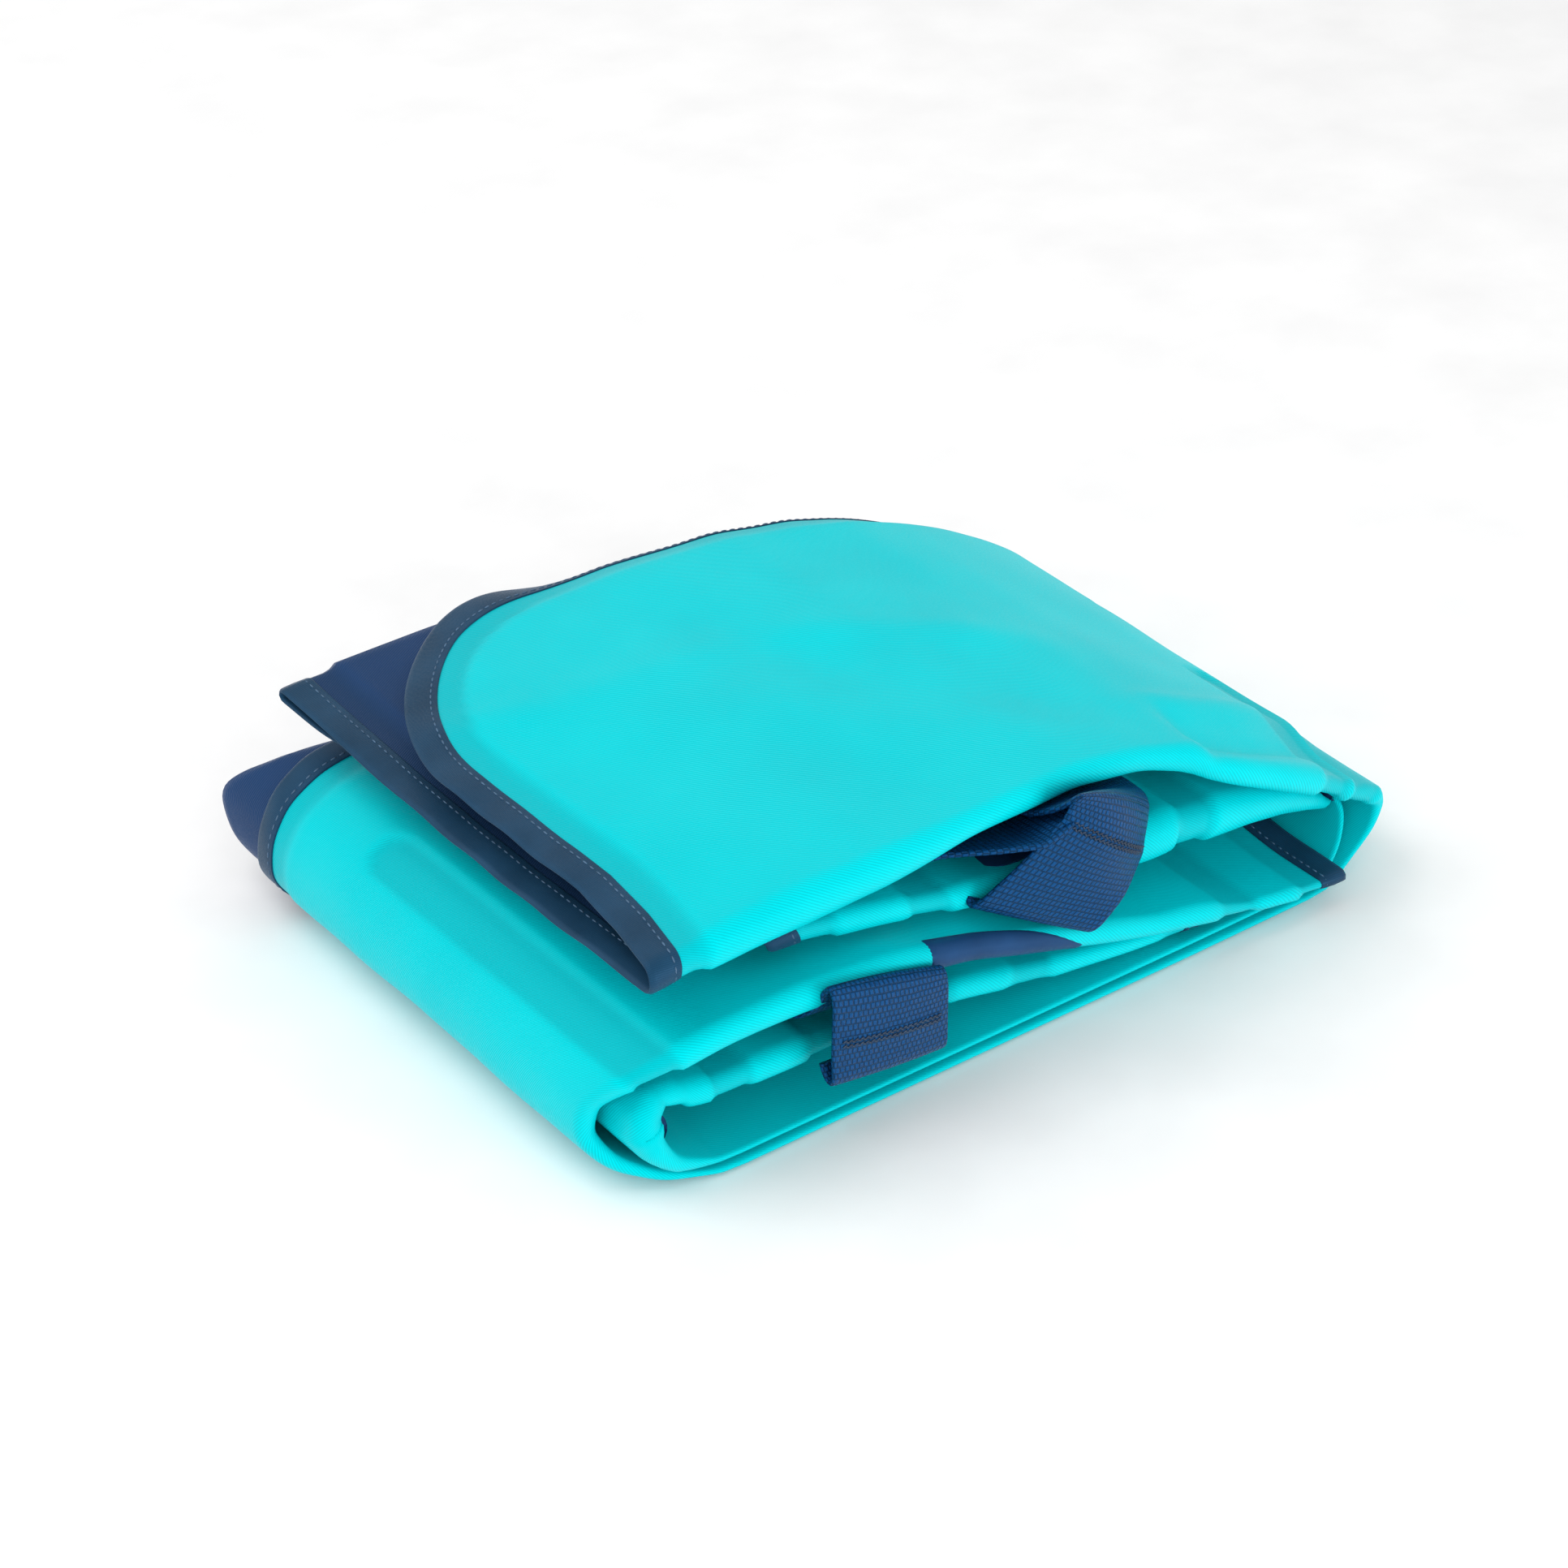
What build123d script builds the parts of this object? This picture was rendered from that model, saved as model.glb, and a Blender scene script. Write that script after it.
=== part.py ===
from build123d import *
import math
import os

# Folded inflatable mat with two webbing handles, in millimetres.
# +X runs from the loose bend to the tight wrap, +Y from the handle side to the back, +Z up.
# The mat is pleated into four layers with fold lines along X, and that strip is rolled into
# three panels: top panel, right wrap, bottom panel, left bend, middle panel.

# ---- driving dimensions ----
reach = 140.0              # from the middle of the pack to the left bend and to the right wrap
front = -92.0              # front fold of the outer layers
back = 95.0                # back fold of the pleats
webbing_width = 40.0
webbing_thickness = 2.2
binding_width = 9.5        # visible width of the folded edge tape
air = 0.3                  # clearance between soft neighbours

# ---- heights of the layers at stations from the loose end to the tight end ----
stations = [-118.0, -78.0, -20.0, 45.0, 80.0, 112.0]
bottom_outer_top = 2.9
bottom_inner_low = bottom_outer_top + air
bottom_inner_top = 6.0
middle_inner_low = [24.0, 20.0, 12.0, 7.2, 6.6, 6.4]
middle_inner_top = [32.0, 27.0, 18.0, 11.2, 10.2, 9.6]
middle_outer_low = [42.5, 43.0, 34.0, 16.0, 12.0, 10.2]
middle_outer_top = [49.5, 50.0, 41.0, 22.0, 16.5, 14.5]
top_inner_low = [56.6, 56.0, 45.5, 34.0, 29.0, 21.5]
top_inner_top = [60.8, 62.5, 52.0, 41.0, 36.0, 27.5]
second_low = [62.0, 64.0, 64.0, 58.0, 44.0, 31.0]
second_thickness = 2.5
flap_low = [70.5, 75.3, 74.0, 67.0, 54.0, 38.0]
face_thickness = 1.0

# ---- web strips between the flap's faces ----
web_height = 2.0
web_thickness = 1.0
web_length = 120.0
web_spacing = 40.0
web_count = 5
first_web_x = -92.0
web_middle_y = -23.0

# ---- plan of the layers ----
panel_left = -125.0                        # loose end of the top panel
second_left = panel_left + binding_width   # where its edge tape starts
inner_leaf_left = -84.0
panel_right = stations[-1]
wrap_left = 118.4
middle_nose = front + 3.0
top_inner_nose = -86.0
fold_depth = 6.0
flap_back = 86.0
flap_corner_radius = 75.0
tip_back = 104.0                           # the loose bend sticks out furthest at the back
side_binding_depth = 4.5

# ---- wrap and its fold line ----
fold_line_height = 20.0
wrap_top = 41.6
parting = 0.3                              # each half of the wrap stops this far from the line

# ---- left bend ----
bend_x = stations[0] - 0.4
outer_bend_reach = reach + bend_x
outer_bend_wall = 6.0
inner_bend_reach = 14.0
inner_bend_wall = 5.0

# ---- handles ----
left_handle_x = -56.5
left_hang_y = -98.4                        # plane in which the left handle hangs
left_fold_z = 43.0                         # height of the line it swings about
left_drop = 25.0
left_curl = 3.6                            # how far the strap end turns back in
left_tail_z = 31.0
left_tail_end = -45.0
right_handle_x = 11.0
right_hang_y = -101.5
right_fold_z = 65.0
right_drop = 33.0
right_curl = 2.6
right_turn = -12.0                         # the right handle lies askew by this many degrees
right_tail_z = 53.0
right_tail_end = -55.0
fold_gap = 3.6                             # between the two legs of a strap fold
fold_rise = 3.0                            # top of the strap fold above its swing line
swing_room = 2.6                           # keeps the swinging leg clear of the fixed fold
patch_thickness = 0.8
bar_thread = 0.9

# ---- trim patch on the middle panel's front fold ----
trim_middle_x = -10.0
trim_length = 54.0
trim_height = 8.0
trim_thickness = 0.5

# ---- valve ----
valve_x = -70.0
valve_y = 15.0
flange_radius = 17.0
flange_thickness = 0.8
neck_radius = 9.0
neck_bore = 6.0
neck_height = 4.6
cap_radius = 11.6
cap_gap = 0.3
cap_height = 5.2
grip_count = 12
grip_radius = 0.8
flap_disc_radius = 5.7
flap_disc_thickness = 0.7


def height_at(x, heights):
    """height of a layer between its stations"""
    for i in range(len(stations) - 1):
        if x <= stations[i + 1]:
            share = (x - stations[i]) / (stations[i + 1] - stations[i])
            return heights[i] + share * (heights[i + 1] - heights[i])
    return heights[-1]


def raised(heights, rise):
    return [h + rise for h in heights]


def layer(x_start, x_end, lows, highs, y_front, y_back, rounding=0.45):
    """a soft layer whose heights follow the stations, with rounded long edges"""
    places = [x_start] + [x for x in stations if x_start < x < x_end] + [x_end]
    sections = []
    for x in places:
        low = height_at(x, lows)
        high = height_at(x, highs)
        middle = (x, (y_front + y_back) / 2, (low + high) / 2)
        plane = Plane(origin=middle, x_dir=(0, 1, 0), z_dir=(1, 0, 0))
        depth = y_back - y_front
        if rounding:
            outline = RectangleRounded(depth, high - low, rounding * min(depth, high - low))
        else:
            outline = Rectangle(depth, high - low)
        sections.append(plane * outline)
    return loft(sections, ruled=True)


def flat_layer(x_start, x_end, low, high, y_front, y_back):
    """a layer that lies level"""
    lows = [low] * len(stations)
    highs = [high] * len(stations)
    return layer(x_start, x_end, lows, highs, y_front, y_back)


# ---- bottom and middle panels ----
def bottom_outer_leaf():
    return flat_layer(stations[0], wrap_left - air, 0.0, bottom_outer_top, front, back)


def bottom_inner_leaf():
    return flat_layer(stations[0], wrap_left - air, bottom_inner_low, bottom_inner_top, front + 1, back)


def middle_inner_leaf():
    y_back = back - fold_depth - air
    return layer(stations[0], panel_right, middle_inner_low, middle_inner_top, middle_nose, y_back)


def middle_outer_leaf():
    y_back = flap_back - air
    return layer(stations[0], panel_right, middle_outer_low, middle_outer_top, front, y_back)


def middle_back_fold():
    """the pleat that joins the two leaves at the back"""
    middle_of_outer = [(a + b) / 2 for a, b in zip(middle_outer_low, middle_outer_top)]
    return layer(
        stations[0], panel_right, middle_inner_low, middle_of_outer, back - fold_depth, back
    )


def middle_side_binding():
    """edge tape along the open back edge of the middle panel's upper layer"""
    lows = [(a + b) / 2 + air for a, b in zip(middle_outer_low, middle_outer_top)]
    y_front = flap_back
    return layer(
        stations[0], panel_right, lows, middle_outer_top, y_front, y_front + side_binding_depth
    )


def middle_end_binding():
    """edge tape across the end of the mat that is rolled inside"""
    low = height_at(panel_right, middle_outer_low)
    high = height_at(panel_right, middle_outer_top)
    return flat_layer(panel_right + air, wrap_left - air, low, high, front, flap_back)


def bend(x_reach, wall, low, high, inner_low, inner_high, y_front, y_back):
    """half an elliptical ring that turns a strip back over itself at the loose end"""
    # the outline is drawn in X and Y, then stood up so that its Y is the row's Z
    outer = Location((bend_x, (low + high) / 2)) * Ellipse(x_reach, (high - low) / 2)
    hollow_half_height = (inner_high - inner_low) / 2
    hollow_middle = (inner_low + inner_high) / 2
    hollow = Location((bend_x, hollow_middle)) * Ellipse(x_reach - wall, hollow_half_height)
    left_half = Location((bend_x - reach / 2, high / 2)) * Rectangle(reach, 2 * high)
    upright = Plane(origin=(0, y_back, 0), x_dir=(1, 0, 0), z_dir=(0, -1, 0))
    return extrude(upright * ((outer - hollow) & left_half), amount=y_back - y_front)


def left_bend_outer():
    return bend(
        outer_bend_reach,
        outer_bend_wall,
        0.0,
        middle_outer_top[0],
        bottom_outer_top,
        middle_outer_low[0],
        front,
        tip_back,
    )


def left_bend_inner():
    return bend(
        inner_bend_reach,
        inner_bend_wall,
        bottom_inner_low,
        middle_inner_top[0],
        bottom_inner_top,
        middle_inner_low[0],
        middle_nose,
        back,
    )


def wrap_half(points, corner_radius):
    """half of the tight wrap: an outline in X and Z with its outer corner rounded"""
    upright = Plane(origin=(0, flap_back, 0), x_dir=(1, 0, 0), z_dir=(0, -1, 0))
    outline = make_face(Polyline(*points, close=True))
    block = extrude(upright * outline, amount=flap_back - front)
    corner = block.edges().filter_by(Axis.Y).sort_by_distance((points[2][0], 0, points[2][1]))[0]
    return fillet(corner, corner_radius)


def right_wrap_lower():
    top = fold_line_height - parting
    points = [(wrap_left, top), (reach, top), (reach, 0.0), (wrap_left, 0.0)]
    return wrap_half(points, 12.0)


def right_wrap_upper():
    low = fold_line_height + parting
    start = panel_right + air
    points = [(start, low), (start, wrap_top), (reach - 4.0, wrap_top - 6.0), (reach, low)]
    return wrap_half(points, 9.0)


# ---- top panel ----
def flap_outline(inset):
    """plan of the flap: straight front, round back corner at the loose end"""
    left = panel_left + inset
    rear = flap_back + side_binding_depth - inset * side_binding_depth / binding_width
    radius = flap_corner_radius - inset
    start = front + fold_depth + air
    edges = [
        Line((left, start), (left, rear - radius)),
        RadiusArc((left, rear - radius), (left + radius, rear), radius),
        Line((left + radius, rear), (panel_right, rear)),
        Line((panel_right, rear), (panel_right, start)),
        Line((panel_right, start), (left, start)),
    ]
    return make_face(edges)


def flap_plan(inset):
    return extrude(flap_outline(inset), amount=100.0)


def flap_sheet(rise_low, rise_high):
    """a level of the flap before it is cut to its plan"""
    lows = raised(flap_low, rise_low)
    highs = raised(flap_low, rise_high)
    return layer(panel_left, panel_right, lows, highs, front, back, rounding=0)


def top_flap_lower_face():
    return flap_sheet(0.0, face_thickness) & flap_plan(binding_width + air)


def top_flap_upper_face():
    low = face_thickness + web_height
    return flap_sheet(low, low + face_thickness) & flap_plan(binding_width + air)


def top_flap_web_strips():
    """welded strips, across the pack, that tie the two faces together when the mat is blown up"""
    level = flap_sheet(face_thickness, face_thickness + web_height)
    plan = flap_plan(binding_width + 8.0)
    strips = []
    for i in range(web_count):
        x = first_web_x + i * web_spacing
        bar = Box(web_thickness, web_length, 2 * web_length)
        strips += (level & plan & bar.moved(Location((x, web_middle_y, web_length)))).solids()
    return Compound(strips)


def top_flap_binding():
    """edge tape round the flap's end, its round corner and its back edge"""
    level = flap_sheet(0.0, 2 * face_thickness + web_height)
    return level & (flap_plan(0.0) - flap_plan(binding_width))


def top_front_fold():
    """the pleat that joins the flap to the layer below it at the front"""
    highs = raised(flap_low, 2 * face_thickness + web_height)
    return layer(
        panel_left, panel_right, second_low, highs, front, front + fold_depth, rounding=0
    )


def second_layer_span(x_start, x_end):
    highs = raised(second_low, second_thickness)
    y_back = back - fold_depth - air
    return layer(x_start, x_end, second_low, highs, front + fold_depth + air, y_back)


def top_second_layer():
    return second_layer_span(second_left, panel_right)


def top_second_binding():
    return second_layer_span(panel_left, second_left - air)


def top_back_fold():
    """the pleat that joins the second layer to the inner leaf at the back"""
    highs = raised(second_low, second_thickness)
    return layer(panel_left, panel_right, top_inner_low, highs, back - fold_depth, back)


def inner_leaf_span(x_start, x_end):
    y_back = back - fold_depth - air
    return layer(x_start, x_end, top_inner_low, top_inner_top, top_inner_nose, y_back)


def top_inner_leaf():
    return inner_leaf_span(inner_leaf_left + binding_width + air, panel_right)


def top_inner_binding():
    return inner_leaf_span(inner_leaf_left, inner_leaf_left + binding_width)


# ---- handles ----
def strap(points, radii, width):
    """flat webbing: its side line in Y and Z, given its thickness and run along X"""
    line = FilletPolyline(*points, radius=radii)
    ribbon = offset(line, amount=webbing_thickness / 2, side=Side.BOTH)
    upright = Plane(origin=(-width / 2, 0, 0), x_dir=(0, 1, 0), z_dir=(1, 0, 0))
    return extrude(upright * make_face(ribbon.edges()), amount=width)


def hanging_strap(drop, curl):
    """the part of a handle that swings: down from its fold and a short turn back in"""
    points = [(0, -swing_room), (0, -drop), (curl, -drop)]
    return strap(points, 1.4, webbing_width)


def strap_tail(inner_end, tail_level):
    """the fixed part of a handle: out from its weld patch, up, and over its fold"""
    points = [
        (inner_end, tail_level),
        (fold_gap, tail_level),
        (fold_gap, fold_rise),
        (0, fold_rise),
        (0, 1.5),
    ]
    return strap(points, [4.0, 1.6, 1.3], webbing_width)


def bar_stitch(drop):
    """two rows of thread across the webbing"""
    y = -webbing_thickness / 2 - bar_thread / 2
    rows = []
    for shift in (-0.8, 0.8):
        spot = Location((0, y, -0.62 * drop + shift))
        rows.append(Box(webbing_width - 6.0, bar_thread, 1.0).moved(spot))
    return Compound(rows)


def left_place():
    return Location((left_handle_x, left_hang_y, left_fold_z))


def left_handle_tail():
    return strap_tail(left_tail_end - left_hang_y, left_tail_z - left_fold_z).moved(left_place())


def left_handle_patch():
    z = left_tail_z - webbing_thickness / 2 - patch_thickness / 2
    return Box(58.0, 34.0, patch_thickness).moved(Location((left_handle_x, left_tail_end - 12, z)))


def left_handle_loop():
    return hanging_strap(left_drop, left_curl).moved(left_place())


def left_handle_stitch():
    return bar_stitch(left_drop).moved(left_place())


def right_place():
    return Location((right_handle_x, right_hang_y, right_fold_z), (0, 0, right_turn))


def right_handle_tail():
    tail = strap_tail(right_tail_end - right_hang_y, right_tail_z - right_fold_z)
    return tail.moved(right_place())


def right_handle_patch():
    z = right_tail_z - right_fold_z - webbing_thickness / 2 - patch_thickness / 2
    patch = Box(50.0, 24.0, patch_thickness)
    return patch.moved(Location((0, right_tail_end - right_hang_y - 8, z))).moved(right_place())


def right_handle_loop():
    return hanging_strap(right_drop, right_curl).moved(right_place())


def right_handle_stitch():
    return bar_stitch(right_drop).moved(right_place())


# ---- trim patch ----
def trim_patch():
    """lens-shaped patch on the middle panel's front fold, following its slope"""
    half = trim_length / 2
    slope = (middle_outer_top[3] - middle_outer_top[2]) / (stations[3] - stations[2])
    upper = ThreePointArc((-half, 0), (0, trim_height / 2), (half, 0))
    lower = ThreePointArc((half, 0), (0, -trim_height / 2), (-half, 0))
    plane = Plane(origin=(0, 0, 0), x_dir=(1, 0, 0), z_dir=(0, -1, 0))
    lens = extrude(plane * make_face([upper, lower]), amount=trim_thickness)
    lows = height_at(trim_middle_x, middle_outer_low)
    highs = height_at(trim_middle_x, middle_outer_top)
    tilted = lens.rotate(Axis.Y, -math.degrees(math.atan(slope)))
    return tilted.moved(Location((trim_middle_x, front - air, (lows + highs) / 2)))


# ---- valve ----
def valve_floor():
    """top of the second layer at the valve, with clearance over its slope"""
    edge = valve_x + flange_radius
    heights = [height_at(x, second_low) for x in (valve_x - flange_radius, valve_x, edge)]
    return max(heights) + second_thickness + 0.1


def round_bar(radius, low, high):
    bar = Cylinder(radius, high - low)
    return bar.moved(Location((valve_x, valve_y, (low + high) / 2)))


def valve_flange():
    low = valve_floor()
    return round_bar(flange_radius, low, low + flange_thickness) - round_bar(
        neck_radius + 0.05, low - 1, low + 2
    )


def valve_neck():
    low = valve_floor()
    return round_bar(neck_radius, low, low + neck_height) - round_bar(
        neck_bore, low + 1.0, low + neck_height + 1
    )


def valve_one_way_disc():
    low = valve_floor() + 1.05
    return round_bar(flap_disc_radius, low, low + flap_disc_thickness)


def valve_cap():
    low = valve_floor() + flange_thickness + cap_gap
    high = low + cap_height
    inside_top = valve_floor() + neck_height + cap_gap
    cap = round_bar(cap_radius, low, high)
    cap -= round_bar(neck_radius + cap_gap, low - 1, inside_top)
    for i in range(grip_count):
        angle = math.radians(i * 360 / grip_count)
        groove = Cylinder(grip_radius, cap_height * 2).moved(
            Location(
                (
                    valve_x + cap_radius * math.cos(angle),
                    valve_y + cap_radius * math.sin(angle),
                    low,
                )
            )
        )
        cap -= groove
    plug = round_bar(neck_bore - cap_gap, inside_top - 1.6, inside_top + 0.2)
    return cap + plug


pieces = {
    "bottom_outer_leaf": bottom_outer_leaf(),
    "bottom_inner_leaf": bottom_inner_leaf(),
    "left_bend_outer": left_bend_outer(),
    "left_bend_inner": left_bend_inner(),
    "middle_inner_leaf": middle_inner_leaf(),
    "middle_outer_leaf": middle_outer_leaf(),
    "middle_back_fold": middle_back_fold(),
    "middle_side_binding": middle_side_binding(),
    "middle_end_binding": middle_end_binding(),
    "right_wrap_lower": right_wrap_lower(),
    "trim_patch": trim_patch(),
    "left_handle_tail": left_handle_tail(),
    "left_handle_patch": left_handle_patch(),
    "left_handle_loop": left_handle_loop(),
    "left_handle_stitch": left_handle_stitch(),
    "right_wrap_upper": right_wrap_upper(),
    "top_flap_upper_face": top_flap_upper_face(),
    "top_flap_lower_face": top_flap_lower_face(),
    "top_flap_web_strips": top_flap_web_strips(),
    "top_flap_binding": top_flap_binding(),
    "top_front_fold": top_front_fold(),
    "top_second_layer": top_second_layer(),
    "top_second_binding": top_second_binding(),
    "top_back_fold": top_back_fold(),
    "top_inner_leaf": top_inner_leaf(),
    "top_inner_binding": top_inner_binding(),
    "right_handle_tail": right_handle_tail(),
    "right_handle_patch": right_handle_patch(),
    "right_handle_loop": right_handle_loop(),
    "right_handle_stitch": right_handle_stitch(),
    "valve_flange": valve_flange(),
    "valve_neck": valve_neck(),
    "valve_one_way_disc": valve_one_way_disc(),
    "valve_cap": valve_cap(),
}

# the row frame: origin in the middle of the box that the pack fills, on the surface it rests on
boxes = [shape.bounding_box() for shape in pieces.values()]
middle_x = (min(box.min.X for box in boxes) + max(box.max.X for box in boxes)) / 2
middle_y = (min(box.min.Y for box in boxes) + max(box.max.Y for box in boxes)) / 2
print("shift", -middle_x, -middle_y, "height", max(box.max.Z for box in boxes))

os.makedirs("parts", exist_ok=True)
for name, shape in pieces.items():
    solids = [solid.moved(Location((-middle_x, -middle_y, 0))) for solid in shape.solids()]
    placed = solids[0] if len(solids) == 1 else Compound(solids)
    if not export_step(placed, f"parts/{name}.step"):
        print("not written", name)
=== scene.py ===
import math
import bmesh
import bpy
import numpy as np
from mathutils import Matrix, Vector


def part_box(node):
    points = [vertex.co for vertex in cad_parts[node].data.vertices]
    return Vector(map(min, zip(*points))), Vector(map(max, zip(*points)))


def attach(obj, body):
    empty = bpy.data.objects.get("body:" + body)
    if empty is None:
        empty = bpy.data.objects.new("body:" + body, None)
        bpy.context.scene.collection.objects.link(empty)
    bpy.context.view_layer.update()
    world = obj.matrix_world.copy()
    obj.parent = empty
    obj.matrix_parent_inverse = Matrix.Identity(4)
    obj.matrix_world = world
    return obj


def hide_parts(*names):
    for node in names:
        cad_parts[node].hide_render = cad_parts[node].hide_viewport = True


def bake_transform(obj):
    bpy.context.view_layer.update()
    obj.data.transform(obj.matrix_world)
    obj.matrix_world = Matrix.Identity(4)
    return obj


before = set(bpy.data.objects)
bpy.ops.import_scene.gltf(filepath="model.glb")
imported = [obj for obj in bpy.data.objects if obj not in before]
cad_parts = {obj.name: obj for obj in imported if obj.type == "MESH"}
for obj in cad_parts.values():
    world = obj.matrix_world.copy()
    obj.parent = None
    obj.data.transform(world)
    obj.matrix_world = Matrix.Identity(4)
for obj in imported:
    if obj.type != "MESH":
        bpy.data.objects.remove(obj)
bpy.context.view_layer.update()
mm = 0.001
print("frame loaded")


def linear(hexColour):
    # sRGB hex to linear colour with alpha
    parts = [int(hexColour[i:i + 2], 16) / 255 for i in (1, 3, 5)]
    return [p / 12.92 if p <= 0.04045 else ((p + 0.055) / 1.055) ** 2.4 for p in parts] + [1.0]


def addNode(tree, kind, inputs=None, **settings):
    # one node with its settings; an input is a value, or an output socket to link from
    node = tree.nodes.new(kind)
    for key, value in settings.items():
        setattr(node, key, value)
    for socket, source in (inputs or {}).items():
        if isinstance(source, bpy.types.NodeSocket):
            tree.links.new(source, node.inputs[socket])
        else:
            node.inputs[socket].default_value = source
    return node


def newMaterial(name, roughness, **shaderInputs):
    # socket names are given with underscores for their spaces
    material = bpy.data.materials.new(name)
    material.use_nodes = True
    tree = material.node_tree
    shader = tree.nodes["Principled BSDF"]
    shader.inputs["Roughness"].default_value = roughness
    for socket, value in shaderInputs.items():
        shader.inputs[socket.replace("_", " ")].default_value = value
    return material, tree, shader


def blendColours(tree, factor, first, second):
    # first and second are hex colours or colour sockets
    mix = addNode(tree, "ShaderNodeMix", data_type="RGBA")
    for socket, source in ((0, factor), (6, first), (7, second)):
        if isinstance(source, bpy.types.NodeSocket):
            tree.links.new(source, mix.inputs[socket])
        else:
            mix.inputs[socket].default_value = linear(source) if isinstance(source, str) else source
    return mix.outputs[2]


def rangeOf(tree, value, low, high, outLow=0.0, outHigh=1.0):
    # spreads low to high over outLow to outHigh, and holds what lies beyond
    names = {"Value": value, "From Min": low, "From Max": high, "To Min": outLow, "To Max": outHigh}
    return addNode(tree, "ShaderNodeMapRange", names).outputs[0]


def twillHeight(tree, coords, pitch, angle):
    # diagonal ribs of a twill weave, one rib every pitch metres
    turned = addNode(tree, "ShaderNodeMapping", {"Vector": coords, "Rotation": (0, 0, angle)})
    scale = math.pi / (10 * pitch)
    wave = addNode(tree, "ShaderNodeTexWave", {"Vector": turned.outputs[0], "Scale": scale,
                                               "Distortion": 0.6, "Detail": 1.0, "Detail Scale": 0.4})
    return wave.outputs["Fac"]


twill = {
    "ribPitch": 0.65 * mm,   # coarser than such cloth usually is, so that the ribs can be seen
    "ribAngle": math.radians(62),
    "ribDepth": 0.07 * mm,
    "roughness": 0.46,
    "shadow": "#0A3A44",     # between the ribs
}
# weld is where both skins are welded: the weave is pressed flat there and looks duller
tealColours = {"lit": "#00D8E0", "deep": "#00D1DA", "weld": "#05B9C3", "gloss": "#00EEF6"}
navyColours = {"lit": "#24426E", "deep": "#203B63", "weld": "#1D3658", "gloss": "#3F68A8"}


def coatedTwill(name, settings, colours):
    # polyester twill, woven and then calendered: fine diagonal ribs and a soft satin sheen
    gloss = linear(colours["gloss"])
    material, tree, shader = newMaterial(name, settings["roughness"], Sheen_Weight=0.12,
                                         Sheen_Roughness=0.35, Sheen_Tint=gloss, IOR=1.5,
                                         Specular_IOR_Level=0.3, Specular_Tint=gloss)
    coords = addNode(tree, "ShaderNodeUVMap", uv_map="flat").outputs[0]
    slow = addNode(tree, "ShaderNodeTexNoise", {"Vector": coords, "Scale": 26.0, "Detail": 3.0})
    yarn = addNode(tree, "ShaderNodeTexNoise", {"Vector": coords, "Scale": 1400.0, "Detail": 2.0})
    rib = twillHeight(tree, coords, settings["ribPitch"], settings["ribAngle"])
    patches = rangeOf(tree, slow.outputs[0], 0.3, 0.7)
    ground = blendColours(tree, patches, colours["deep"], colours["lit"])
    pressed = addNode(tree, "ShaderNodeAttribute", attribute_name="weld").outputs["Fac"]
    ground = blendColours(tree, rangeOf(tree, pressed, 0, 1, 0, 0.75), ground, colours["weld"])
    ribbed = blendColours(tree, rangeOf(tree, rib, 0.1, 0.6, 0.22, 0.0), ground, settings["shadow"])
    tree.links.new(ribbed, shader.inputs["Base Color"])
    rough = rangeOf(tree, yarn.outputs[0], 0.3, 0.7, settings["roughness"] - 0.07,
                    settings["roughness"] + 0.07)
    tree.links.new(rough, shader.inputs["Roughness"])
    grain = addNode(tree, "ShaderNodeMath", {0: yarn.outputs[0], 1: 0.35}, operation="MULTIPLY")
    height = addNode(tree, "ShaderNodeMath", {0: rib, 1: grain.outputs[0]}, operation="ADD")
    bump = addNode(tree, "ShaderNodeBump", {"Height": height.outputs[0], "Strength": 0.6,
                                            "Distance": settings["ribDepth"]})
    tree.links.new(bump.outputs[0], shader.inputs["Normal"])
    return material


tape = {
    "lit": "#1F4460",
    "deep": "#17374F",
    "shadow": "#10263A",     # between the ribs
    "sheen": "#4C86BC",
    "gloss": "#5C94C8",
    "ribPitch": 0.5 * mm,
    "roughness": 0.42,
}


def foldedTape():
    # polyester binding tape, woven as fine grosgrain: narrow cross ribs and a silky shine
    material, tree, shader = newMaterial("wovenPolyesterTape", tape["roughness"], Sheen_Weight=0.15,
                                         Sheen_Roughness=0.3, Sheen_Tint=linear(tape["sheen"]), IOR=1.5,
                                         Specular_IOR_Level=0.45, Specular_Tint=linear(tape["gloss"]))
    coords = addNode(tree, "ShaderNodeUVMap", uv_map="flat").outputs[0]
    rib = twillHeight(tree, coords, tape["ribPitch"], 0)
    slow = addNode(tree, "ShaderNodeTexNoise", {"Vector": coords, "Scale": 60.0, "Detail": 4.0})
    yarn = addNode(tree, "ShaderNodeTexNoise", {"Vector": coords, "Scale": 1600.0, "Detail": 2.0})
    ground = blendColours(tree, rangeOf(tree, slow.outputs[0], 0.3, 0.7), tape["deep"], tape["lit"])
    ribbed = blendColours(tree, rangeOf(tree, rib, 0.0, 0.5, 0.35, 0.0), ground, tape["shadow"])
    tree.links.new(ribbed, shader.inputs["Base Color"])
    rough = rangeOf(tree, yarn.outputs[0], 0.3, 0.7, tape["roughness"] - 0.08, tape["roughness"] + 0.1)
    tree.links.new(rough, shader.inputs["Roughness"])
    bump = addNode(tree, "ShaderNodeBump", {"Height": rib, "Strength": 0.5, "Distance": 0.06 * mm})
    tree.links.new(bump.outputs[0], shader.inputs["Normal"])
    return material


webbing = {
    "lit": "#0B447A",
    "deep": "#082A4C",
    "gloss": "#5FA8E0",
    "column": 1.55 * mm,     # width of one warp rib
    "pick": 1.9 * mm,        # length of one visible warp float
    "gap": 0.42 * mm,        # gap between floats, painted dark as shade
    "drift": 0.45 * mm,      # how far the weave wanders from straight
    "roughness": 0.36,
}


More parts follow.
